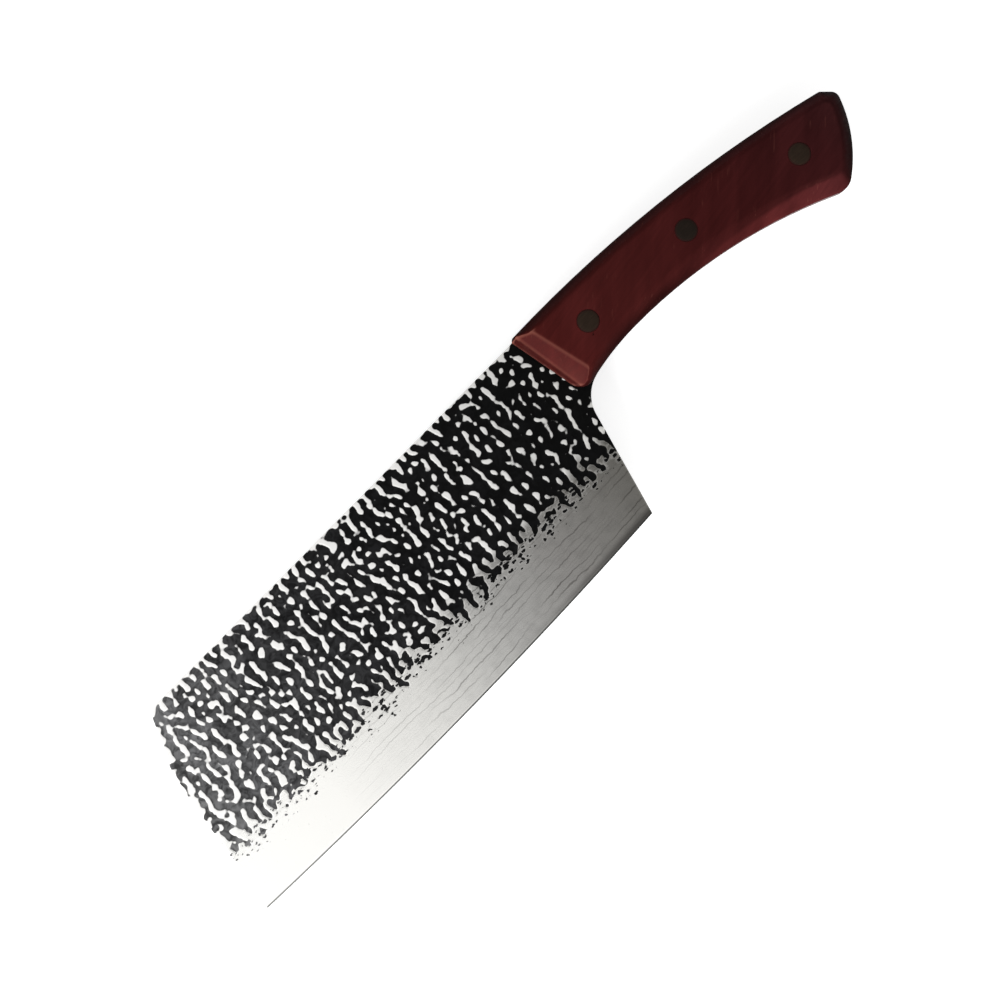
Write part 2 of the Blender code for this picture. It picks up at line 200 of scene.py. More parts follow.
class ForgedSteel(Finish):
    """Laminated carbon steel: hammered flats under black forge scale, and a ground bevel.

    The hammer leaves dents that keep the oven-black iron oxide, matt and almost without shine.
    Between them the plate was rubbed bright. The bevel is polished, and acid shows the layers of
    the steel in it as thin dark lines. The bevel, the bright flats and the scale carry a painted
    reflection: pale at the nose and darker towards the heel. Painted shade darkens the borders of
    the bright flats, the honed edge and the bevel's heel end. The upright faces, the spine and the
    two ends, are coloured greyer.
    """

    name = "forged_laminated_steel"
    contour_softness = 0.05
    contour_grain = 0.04
    speck_length_mm = 3.0
    speck_height_mm = 1.55
    layer_pitch_mm = 2.3
    layer_line_mm = 0.40

    def build(self) -> bpy.types.Material:
        """Make the material, which reads the blade's own attributes.

        Returns:
            The steel's material.
        """
        x = self.add("SeparateXYZ", self.place, out="X")
        self.along = self.add("MapRange", x, BENCH.at(-0.185, 0, 0).x, BENCH.at(0, 0, 0).x)
        self.mark, self.below, self.edge = (
            self.add("Attribute", attribute_name=name, out="Fac") for name in ("bare", "below_mm", "edge_mm")
        )
        inside = self.inside_speck()
        bare = self.bare_mask(inside)
        ground = self.add("MapRange", self.below, -7.5, -3.0)
        # Painted reflection: the bright flats go from near white at the nose to grey at the heel.
        land_with_painted_reflection = self.add("ValToRGB", self.along, stops=[
            (0.0, "#e9e8e6"), (0.42, "#dedddb"), (0.65, "#d7d6d4"), (0.79, "#d3d2d0"), (0.87, "#c5c4c2"),
            (1.0, "#c2c1be"),
        ])
        # Painted shade: the bright flats darken towards their borders with the black dents.
        land_border_shade = self.add("MapRange", self.mark, 0.0, 0.12, 0.70, 1.06)
        steel = self.add("VectorMath", land_with_painted_reflection, land_border_shade, operation="MULTIPLY")
        net = self.add("MapRange", inside, -0.35, -0.08, 0.0, 0.22, **EASED)
        torn = self.add("MapRange", self.below, 2.0, 4.5, 1.0, 0.0)
        net = self.add("Math", net, torn, operation="MULTIPLY")
        # Faces that stand upright, the spine and the two ends, are coloured greyer.
        level = self.add("SeparateXYZ", self.add("NewGeometry", out="Normal"), out="Z")
        level = self.add("Math", level, operation="ABSOLUTE")
        upright = self.add("MapRange", level, 0.35, 0.15)
        for share, coat in (
            (ground, self.bevel_colour()), (net, linear("#d0cfcc")), (upright, linear("#a19f9b")),
        ):
            steel = self.add("Mix", share, steel, coat, data_type="RGBA")
        polish = self.add("MapRange", ground, 0.0, 1.0, 0.42, 0.26)
        grit = self.add("TexNoise", self.place, Scale=2600.0, Detail=3.0)
        return self.surface({
            "Base Color": self.add("Mix", bare, self.scale_colour(), steel, data_type="RGBA"),
            "Metallic": bare,
            "Roughness": self.add("Mix", bare, 0.62, polish),
            "Normal": self.add("Bump", Height=grit, Strength=0.25, Distance=0.00004),
            "Specular IOR Level": 0.04,
        })

    def bare_mask(self, inside: Socket) -> Socket:
        """1 where the steel is bare and 0 where the scale is left, with a ragged border.

        Args:
            inside: Depth inside a speck.

        Returns:
            The mask.
        """
        noise = self.add("TexNoise", self.place, Scale=1100.0, Detail=2.0)
        ragged = self.add("Math", noise, self.contour_grain, self.mark, operation="MULTIPLY_ADD")
        middle, soft = self.contour_grain / 2, self.contour_softness
        contour = self.add("MapRange", ragged, middle - soft, middle + soft, **EASED)
        between = self.add("MapRange", inside, -0.05, 0.05, 1.0, 0.0, **EASED)
        return self.add("Math", contour, between, operation="MULTIPLY")

    def inside_speck(self) -> Socket:
        """Small dents, each apart from the next, where the hammered flat runs out.

        Returns:
            How far inside a speck a point lies, as a share of the specks' pitch. Below 0 is outside.
        """
        bend = self.add("TexNoise", self.place, Scale=800.0, Detail=1.0, out="Color")
        bent = self.add("VectorMath", bend, (0.0018, 0.0014, 0.0), self.place, operation="MULTIPLY_ADD")
        pitch = (1000 / self.speck_length_mm, 1000 / self.speck_height_mm, 0.0)
        cells = self.add(
            "TexVoronoi", self.add("Mapping", bent, Scale=pitch), out="Color",
            Scale=1.0, Randomness=0.9, voronoi_dimensions="2D",
        )
        reach = self.add("MapRange", self.below, -3.5, -0.5, 0.0, 0.47, **EASED)
        for part in (
            self.add("MapRange", self.below, 0.8, 6.0, 1.0, 0.2),
            self.add("MapRange", self.add("SeparateColor", cells), 0.0, 1.0, 0.35, 1.2),
        ):
            reach = self.add("Math", reach, part, operation="MULTIPLY")
        smallest = self.add("Math", cells.node.outputs["Distance"], 0.09, operation="ADD")
        return self.add("Math", reach, smallest, operation="SUBTRACT")

    def scale_colour(self) -> Socket:
        """Colour of the forge scale: a painted reflection, grey at the nose and black at the handle, under
        streaks and patches of wear.

        Returns:
            The colour.
        """
        # Painted reflection: the scale is grey at the nose and black towards the handle.
        base_with_painted_reflection = self.add("ValToRGB", self.along, stops=[
            (0.0, "#636363"), (0.10, "#565657"), (0.25, "#363637"), (0.40, "#202021"),
            (0.60, "#0e0e0f"), (1.0, "#030303"),
        ])
        wear_and_painted_light = self.add("TexNoise", self.place, Scale=330.0, Detail=3.0, Distortion=1.2)
        patches = self.add("TexNoise", self.place, Scale=90.0, Detail=1.0)
        wear_and_painted_light = self.add("MapRange", wear_and_painted_light, 0.36, 0.64, 0.50, 1.60)
        patches = self.add("MapRange", patches, 0.40, 0.60, 0.72, 1.28)
        gain = self.add("Math", wear_and_painted_light, patches, operation="MULTIPLY")
        return self.add("VectorMath", base_with_painted_reflection, gain, operation="MULTIPLY")

    def bevel_colour(self) -> Socket:
        """Colour of the ground bevel, with the layers of the steel as thin wavy lines. It carries a
        painted reflection, near white at the nose and dark grey at the heel, and painted shade on the
        honed edge and near the edge at the heel.

        Returns:
            The colour.
        """
        # Painted reflection: the bevel is near white at the nose and dark grey at the heel.
        base_with_painted_reflection = self.add("ValToRGB", self.along, stops=[
            (0.0, "#fdfdfa"), (0.22, "#fbfaf6"), (0.44, "#e2e1dd"), (0.65, "#afaeab"),
            (0.79, "#918f8c"), (1.0, "#6b6964"),
        ])
        shown = self.add("MapRange", self.along, 0.22, 0.62)
        stain = self.add("TexNoise", self.place, Scale=260.0, Detail=2.0)
        stain = self.add("MapRange", stain, 0.35, 0.65, 0.09, -0.04)
        stain = self.add("Math", stain, shown, operation="MULTIPLY")
        base_with_painted_reflection = self.add("Mix", stain, base_with_painted_reflection, linear("#000000"), data_type="RGBA")
        faint = self.layer_lines(self.layer_pitch_mm * 0.47, self.layer_line_mm * 0.7, 5.0)
        faint = self.add("Math", faint, 0.25, operation="MULTIPLY")
        layers = self.layer_lines(self.layer_pitch_mm, self.layer_line_mm, 0.0)
        depth = self.add("Math", layers, faint, operation="MAXIMUM")
        for part in (shown, self.add("MapRange", self.edge, 1.8, 3.0, 0.0, 0.62, **EASED)):
            depth = self.add("Math", depth, part, operation="MULTIPLY")
        lined = self.add("Mix", depth, base_with_painted_reflection, linear("#35322e"), data_type="RGBA")
        # Painted shade: near the edge at the heel the bevel is darkened towards #2c2a28.
        heel = self.add("MapRange", self.along, 0.55, 0.95, 0.0, 0.75, **EASED)
        heel_edge_shade = self.add("MapRange", self.edge, 0.6, 3.2, 1.0, 0.0, **EASED)
        heel_edge_shade = self.add("Math", heel, heel_edge_shade, operation="MULTIPLY")
        with_heel_edge_shade = self.add("Mix", heel_edge_shade, lined, linear("#2c2a28"), data_type="RGBA")
        # Painted shade: the honed edge is a dark strip, grey at the nose and near black at the heel.
        honed = self.add("ValToRGB", self.along, stops=[(0.0, "#8c8c89"), (0.5, "#5a5a58"), (1.0, "#2e2d2b")])
        at_edge = self.add("MapRange", self.edge, 0.45, 0.70, 1.0, 0.0)
        return self.add("Mix", at_edge, with_heel_edge_shade, honed, data_type="RGBA")

    def layer_lines(self, pitch: float, width: float, shift: float) -> Socket:
        """Thin wavy lines that follow the cutting edge, each clear in some places and faint in others.

        Args:
            pitch: Distance between two lines in millimetres.
            width: A line's width in millimetres.
            shift: Moves the waves, so that two sets of lines differ.

        Returns:
            1 in the middle of a clear line and 0 between the lines.
        """
        path = self.edge
        for length, height, reach in ((50.0, 12.0, 4.0), (12.0, 5.0, 1.3), (4.0, 3.5, 1.0), (1.3, 2.0, 0.6)):
            pace = (1000 / length, 1000 / height, 0.0)
            waves = self.add("Mapping", self.place, Location=(shift, shift, 0.0), Scale=pace)
            wave = self.add("TexNoise", waves, Scale=1.0, Detail=0.0)
            path = self.add("Math", wave, reach, path, operation="MULTIPLY_ADD")
        turns = self.add("Math", path, 1 / pitch, operation="MULTIPLY")
        number = self.add("Math", turns, operation="ROUND")
        off = self.add("Math", turns, number, operation="SUBTRACT")
        off = self.add("Math", off, operation="ABSOLUTE")
        line = self.add("MapRange", off, 0.15 * width / pitch, 0.75 * width / pitch, 1.0, 0.0, **EASED)
        x = self.add("SeparateXYZ", self.place, out="X")
        here = self.add("Math", x, 1000 / 26.0, operation="MULTIPLY")
        track = self.add("Math", number, 7.3, operation="MULTIPLY")
        clear = self.add("TexNoise", self.add("CombineXYZ", here, track), Scale=1.0, Detail=1.5)
        clear = self.add("MapRange", clear, 0.42, 0.62)
        return self.add("Math", line, clear, operation="MULTIPLY")


class TangSteel(Finish):
    """The tang's rim between the scales: bare steel, sanded flush and darkened by handling."""

    name = "sanded_tang_steel"

    def build(self) -> bpy.types.Material:
        """Make the material.

        Returns:
            The material.
        """
        drawn = self.add("Mapping", self.place, Scale=(90.0, 900.0, 2600.0))
        scratches = self.add("TexNoise", drawn, Scale=1.0, Detail=4.0)
        return self.surface({
            "Base Color": self.add("ValToRGB", scratches, stops=[(0.3, "#4c4a47"), (0.7, "#7d7b77")]),
            "Roughness": self.add("MapRange", scratches, 0.0, 1.0, 0.30, 0.50),
            "Metallic": 1.0,
        })


class DyedWood(Finish):
    """Dark red dyed hardwood, pressed with resin and rubbed to a dull gloss.

    The wood is brightest at the blade's end of the handle and browner at the butt. Painted shade
    darkens the chamfers of the back and the butt, the front end and the front of the belly, and
    painted light makes the rear of the belly a brighter red. Painted highlights make the ridges at
    the front paler, and a few fine scratches are pale too.
    """

    name = "red_dyed_hardwood"
    grain_pitch_mm = 1.1
    streak_pitch_mm = 7.0
    streak_turn = 38.0
    chamfer_drop = 0.0038

    def build(self) -> bpy.types.Material:
        """Make the material, which reads the scales' own attribute.

        Returns:
            The wood's material.
        """
        x = self.add("SeparateXYZ", self.place, out="X")
        self.along = self.add("MapRange", x, BENCH.at(0, 0, 0).x, BENCH.at(0.13, 0, 0).x)
        dye = self.add("ValToRGB", self.along, stops=[
            (0.0, "#4c1a18"), (0.16, "#451918"), (0.30, "#421817"), (0.65, "#391414"), (0.9, "#341415"),
            (1.0, "#331718"),
        ])
        grain = self.streaks(9.0, 18.0, self.grain_pitch_mm)
        clouds = self.streaks(self.streak_turn, 32.0, self.streak_pitch_mm)
        gain = self.add("MapRange", grain, 0.3, 0.7, 0.90, 1.10)
        # The last factor is painted light and shade on the chamfers.
        for part in (self.add("MapRange", clouds, 0.35, 0.65, 0.86, 1.18), self.wear_and_painted_light()):
            gain = self.add("Math", gain, part, operation="MULTIPLY")
        colour = self.add("VectorMath", dye, gain, operation="MULTIPLY")
        normal = self.add("NewGeometry", out="Normal")
        sideways = self.add("Math", self.add("SeparateXYZ", normal, out="Y"), operation="ABSOLUTE")
        # Painted highlight: the ridges at the front that face the nose turn paler.
        ridge = self.add("Attribute", attribute_name="ridge", out="Fac")
        ridge_sheen_and_scuffs = self.add("MapRange", ridge, 0.0, 1.0, 0.0, 0.62)
        for part in (
            self.add("MapRange", self.add("SeparateXYZ", normal, out="X"), -0.10, -0.25),
            self.add("MapRange", sideways, 0.26, 0.38, 1.0, 0.0),
        ):
            ridge_sheen_and_scuffs = self.add("Math", ridge_sheen_and_scuffs, part, operation="MULTIPLY")
        # The same pale colour also takes the fine scratches, which are real wear.
        ridge_sheen_and_scuffs = self.add("Math", ridge_sheen_and_scuffs, self.scuffs(), operation="MAXIMUM")
        return self.surface({
            "Base Color": self.add("Mix", ridge_sheen_and_scuffs, colour, linear("#8a5448"), data_type="RGBA"),
            "Roughness": self.add("MapRange", grain, 0.3, 0.7, 0.38, 0.50),
            "Normal": self.add("Bump", Height=grain, Strength=0.10, Distance=0.0001),
            "Specular IOR Level": 0.013,
        })

    def streaks(self, turn: float, length: float, pitch: float) -> Socket:
        """Noise drawn out into streaks.

        Args:
            turn: The streaks' angle from the handle's length in degrees.
            length: The streaks' length in millimetres.
            pitch: The streaks' distance in millimetres.

        Returns:
            The noise.
        """
        turned = self.add("Mapping", self.place, Rotation=(0.0, 0.0, math.radians(-turn)))
        drawn = self.add("Mapping", turned, Scale=(1000 / length, 1000 / pitch, 1000 / (pitch * 2)))
        return self.add("TexNoise", drawn, Scale=1.0, Detail=4.0, Roughness=0.55, Distortion=0.3)

    def scuffs(self) -> Socket:
        """A few fine pale scratches.

        Returns:
            The share of the pale dye, 0 away from the scratches.
        """
        lines = self.add("MapRange", self.streaks(43.0, 8.0, 0.5), 0.62, 0.70, 0.0, 0.15)
        patches = self.add("TexNoise", self.place, Scale=95.0, Detail=0.0)
        return self.add("Math", lines, self.add("MapRange", patches, 0.56, 0.64), operation="MULTIPLY")

    def wear_and_painted_light(self) -> Socket:
        """Painted light and shade on each chamfer, as a factor on the wood's colour.

        Returns:
            The dye's factor, 1 on the flat.
        """
        middle = BENCH.origin.z
        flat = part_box("handle_scale_left")[1].z - middle
        off = self.add("Math", self.add("SeparateXYZ", self.place, out="Z"), middle, operation="SUBTRACT")
        off = self.add("Math", off, operation="ABSOLUTE")
        down = self.add("MapRange", off, flat, flat - self.chamfer_drop)
        # Painted light: the rear of the belly chamfer is brighter and redder, less so at the butt corner.
        lit_rear_belly = self.add("MapRange", self.along, 0.36, 0.74, 0.66, 2.0, **EASED)
        corner = self.add("MapRange", self.along, 0.872, 0.892, 1.0, 0.4, **EASED)
        lit_rear_belly = self.add("Math", lit_rear_belly, corner, operation="MULTIPLY")
        start = self.add("MapRange", self.along, 0.45, 0.80, 0.75, 0.1)
        past = self.add("Math", down, start, operation="SUBTRACT")
        rear = self.add("Mix", self.add("MapRange", past, -0.15, 0.15, **EASED), 0.95, lit_rear_belly)
        # Painted shade: the front of the belly chamfer is darker.
        front = self.add("MapRange", down, 0.1, 0.8, 0.95, 0.38)
        belly = self.add("Mix", self.add("MapRange", self.along, 0.34, 0.50, **EASED), front, rear)
        # Painted shade on the back chamfer, less of it towards the rear.
        back = self.add(
            "Mix",
            self.add("MapRange", self.along, 0.60, 0.90, **EASED),
            self.add("MapRange", down, 0.0, 0.8, 0.85, 0.32),
            self.add("MapRange", down, 0.3, 1.0, 0.95, 0.22),
        )
        lighter = self.add("MapRange", self.along, 0.15, 0.62, 0.9, 1.4)
        back = self.add("Math", back, lighter, operation="MULTIPLY")
        # Painted shade on the butt's chamfer.
        butt = self.add("MapRange", down, 0.15, 0.90, 0.95, 0.25)
        normal = self.add("NewGeometry", out="Normal")
        gain: Socket | float = 1.0
        # Each factor is picked by the way a face points: back, belly, butt and front end, the last with
        # painted shade.
        for axis, first, last, factor in (
            ("Y", 0.20, 0.60, back),
            ("Y", -0.20, -0.60, belly),
            ("X", 0.40, 0.65, butt),
            ("X", -0.65, -0.85, 0.55),
        ):
            share = self.add("MapRange", self.add("SeparateXYZ", normal, out=axis), first, last, **EASED)
            gain = self.add("Math", gain, self.add("Mix", share, 1.0, factor), operation="MULTIPLY")
        return gain


class BlackedRivet(Finish):
    """Cutlery rivet steel, blackened in hot oil, then sanded with the wood: dull and brownish.

    How much of the black the sanding has left differs from rivet to rivet. The wood's dye has
    crept over the rims of the heads and softens them.
    """

    name = "oil_blackened_steel"

    def build(self, dark: str = "#221a14", light: str = "#2c221a") -> bpy.types.Material:
        """Make the material.

        Args:
            dark: Colour of the black that is left.
            light: Colour of the steel where most of it is sanded off.

        Returns:
            The rivets' material.
        """
        drawn = self.add("Mapping", self.place, Rotation=(0, 0, 0.4), Scale=(300.0, 3500.0, 900.0))
        marks = self.add("TexNoise", drawn, Scale=1.0, Detail=3.0)
        colour = self.add("ValToRGB", marks, stops=[(0.3, dark), (0.7, light)])
        rim = self.add("Attribute", attribute_name="from_axis_mm", out="Fac")
        dyed = self.add("MapRange", rim, 3.0, 3.7, 0.0, 0.8, **EASED)
        return self.surface({
            "Base Color": self.add("Mix", dyed, colour, linear("#2b1412"), data_type="RGBA"),
            "Roughness": 0.45,
            "Specular IOR Level": 0.04,
        })


class CuredEpoxy(Finish):
    """Black-brown epoxy, squeezed out between the tang and the scales and wiped flush."""

    name = "dark_cured_epoxy"

    def build(self) -> bpy.types.Material:
        """Make the material.

        Returns:
            The material.
        """
        smear = self.add("TexNoise", self.place, Scale=400.0)
        colour = self.add("ValToRGB", smear, stops=[(0.3, "#140b09"), (0.7, "#26130f")])
        return self.surface({"Base Color": colour, "Roughness": 0.3})


def deselect() -> None:
    """Leave edit mode with nothing selected."""
    if bpy.context.object and bpy.context.object.mode != "OBJECT":
        bpy.ops.object.mode_set(mode="OBJECT")
    bpy.ops.object.select_all(action="DESELECT")


def only(piece: Piece) -> None:
    """Select one object alone and make it the active one.

    Args:
        piece: The object.
    """
    deselect()
    piece.select_set(True)
    bpy.context.view_layer.objects.active = piece


def edit_all(piece: Piece) -> None:
    """Go into edit mode with the whole piece selected.

    Args:
        piece: The piece.
    """
    only(piece)
    bpy.ops.object.mode_set(mode="EDIT")
    bpy.ops.mesh.select_all(action="SELECT")


def select_faces(piece: Piece, numbers: set[int]) -> None:
    """Go into edit mode with only these faces selected.

    Args:
        piece: The piece, in object mode.
        numbers: The faces' numbers.
    """
    only(piece)
    bpy.ops.object.mode_set(mode="EDIT")
    bpy.ops.mesh.select_mode(type="FACE")
    bpy.ops.mesh.select_all(action="DESELECT")
    bpy.ops.object.mode_set(mode="OBJECT")
    for face in piece.data.polygons:
        face.select = face.index in numbers
    bpy.ops.object.mode_set(mode="EDIT")


def cad_copy(node: str, name: str) -> Piece:
    """Copy a CAD node's mesh into a piece of its own, with its loose triangles joined.

    Args:
        node: The CAD node.
        name: The new piece's name.

    Returns:
        The new piece, active and in object mode.
    """
    piece = bpy.data.objects.new(name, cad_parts[node].data.copy())
    piece.data.name = name
    bpy.context.scene.collection.objects.link(piece)
    edit_all(piece)
    bpy.ops.mesh.remove_doubles(threshold=WELD)
    bpy.ops.mesh.dissolve_limited(angle_limit=math.radians(0.2))
    bpy.ops.object.mode_set(mode="OBJECT")
    if piece.data.has_custom_normals:
        bpy.ops.mesh.customdata_custom_splitnormals_clear()
    return piece


def even_normals(piece: Piece, angle: float) -> None:
    """Shade a piece smooth but for its corners, with its large faces kept flat.

    Args:
        piece: The piece.
        angle: Edges sharper than this many degrees stay corners.
    """
    only(piece)
    bpy.ops.object.shade_smooth_by_angle(angle=math.radians(angle))
    weigh = piece.modifiers.new("Flat faces stay flat", "WEIGHTED_NORMAL")
    weigh.keep_sharp = True
    weigh.weight = 100
    bpy.ops.object.modifier_apply(modifier=weigh.name)


def dress(piece: Piece, material: bpy.types.Material, node: str) -> None:
    """Give a finished piece its material and body, hide the CAD node that it replaces, and log it.

    Args:
        piece: The piece.
        material: Its finish.
        node: The CAD node that it stands for.
    """
    piece.data.materials.clear()
    piece.data.materials.append(material)
    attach(piece, "root")
    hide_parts(node)
    log.info("%s: %d faces, stands for %s", piece.name, len(piece.data.polygons), node)


@dataclass(frozen=True)
class HammerMarks:
    """The pattern that the hammer left: bright worms of bare steel between black dents.

    The marks are band-limited noise. Its waves run along the blade, so that the worms lie across
    it. The worms' field holds ranks from 0 to 1, so the places above 1 - f are f of the skin.
    """

    seed: int
    start_mm: float = -190.0
    spare_rows: int = 2
    cell_mm: float = 0.25
    width: int = 864
    height: int = 320
    worm_pitch_mm: float = 4.2
    nick_pitch_mm: float = 1.8
    nick_share: float = 0.15

    def waves(self) -> tuple[np.ndarray, np.ndarray]:
        """Length and heading of each wave that a field can hold.

        Returns:
            Cycles per millimetre, and degrees from the blade's length.
        """
        sizes = (self.width, self.height)
        across, down = np.meshgrid(*(np.fft.fftfreq(size, self.cell_mm) for size in sizes))
        return np.hypot(across, down) + 1e-9, np.degrees(np.arctan2(down, across))

    def band(
        self, pitch: float, spread: float, floor: float = 1.0, heading: float = 0.0, fan: float = 30.0,
    ) -> np.ndarray:
        """How much of each wave a pattern takes.

        Args:
            pitch: The pattern's period in millimetres.
            spread: The band's width as a share of its middle.
            floor: Share of the waves that run any way.
            heading: Way that the other waves run, in degrees from the blade's length.
            fan: Spread of their heading in degrees.

        Returns:
            One weight per wave.
        """
        length, angle = self.waves()
        off = (angle - heading + 90) % 180 - 90
        ring = np.exp(-((length * pitch - 1) / spread) ** 2 / 2)
        return ring * (floor + (1 - floor) * np.exp(-(off / fan) ** 2 / 2))

    def blurred(self, values: np.ndarray, reach: float) -> np.ndarray:
        """Values averaged over a round patch of this reach in millimetres."""
        length, _ = self.waves()
        return self.filtered(values, np.exp(-2 * (math.pi * reach * length) ** 2))

    def filtered(self, values: np.ndarray, weights: np.ndarray) -> np.ndarray:
        """Values with each of their waves weighted."""
        return np.fft.ifft2(np.fft.fft2(values) * weights).real

    def ranked(self, values: np.ndarray) -> np.ndarray:
        """Values replaced by their rank, from 0 to 1."""
        ranks = np.argsort(np.argsort(values.ravel(), kind="stable"))
        return np.linspace(0, 1, values.size)[ranks].reshape(values.shape)

    def worms(self) -> np.ndarray:
        """The bright worms, evened so that no place is without them.

        Returns:
            The field, as ranks from 0 to 1.
        """
        worms = self.waved(0, self.band(self.worm_pitch_mm, spread=0.42, floor=0.33, heading=-4, fan=25))
        nicks = self.waved(1, self.band(self.nick_pitch_mm, spread=0.35))
        both = worms + self.nick_share * nicks
        both /= np.sqrt(self.blurred(both ** 2, 3.0) + 1e-3)
        return self.ranked(self.blurred(both, 0.12))

    def drift(self, number: int, pitch: float) -> np.ndarray:
        """A wander between about -2 and 2.

        Args:
            number: Which of the seed's noises it is.
            pitch: Its period in millimetres.

        Returns:
            The field.
        """
        return self.waved(number, self.band(pitch, spread=0.5))

    def waved(self, number: int, weights: np.ndarray) -> np.ndarray:
        """Seeded noise that keeps only some waves.

        Args:
            number: Which of the seed's noises it is.
            weights: One weight per wave.

        Returns:
            The field, with a spread of 1.
        """
        noise = np.random.default_rng((self.seed, number)).standard_normal((self.height, self.width))
        field_ = self.filtered(noise, weights)
        return field_ / field_.std()

    def sample(self, values: np.ndarray, x_mm: np.ndarray, y_mm: np.ndarray) -> np.ndarray:
        """Read a field at places on the blade.

        Args:
            values: The field.
            x_mm: Places along the blade, from start_mm.
            y_mm: Places down from the spine, 0 or below.

        Returns:
            One value per place, blended between the field's four nearest cells.
        """
        column = (x_mm - self.start_mm) / self.cell_mm
        row = -y_mm / self.cell_mm + self.spare_rows
        left = np.clip(np.floor(column).astype(int), 0, self.width - 2)
        top = np.clip(np.floor(row).astype(int), 0, self.height - 2)
        across, down = column - left, row - top
        upper = values[top, left] * (1 - across) + values[top, left + 1] * across
        lower = values[top + 1, left] * (1 - across) + values[top + 1, left + 1] * across
        return upper * (1 - down) + lower * down


def rounded(corner: tuple, before: tuple, after: tuple, radius: float, steps: int = 12) -> list[tuple]:
    """Points of an arc that rounds the corner of two straight lines.

    Args:
        corner: Where the lines meet.
        before: A point on the first line.
        after: A point on the second line.
        radius: The arc's radius.
        steps: Number of its chords.

    Returns:
        The arc's points, from the first line to the second.
    """
    here = Vector(corner)
    back, on = (Vector(before) - here).normalized(), (Vector(after) - here).normalized()
    half = back.angle(on) / 2
    centre = here + (back + on).normalized() * (radius / math.sin(half))
    start = here + back * (radius / math.tan(half)) - centre
    end = here + on * (radius / math.tan(half)) - centre
    turn = math.atan2(start.cross(end), start.dot(end))
    return [tuple(centre + Matrix.Rotation(turn * step / steps, 2) @ start) for step in range(steps + 1)]


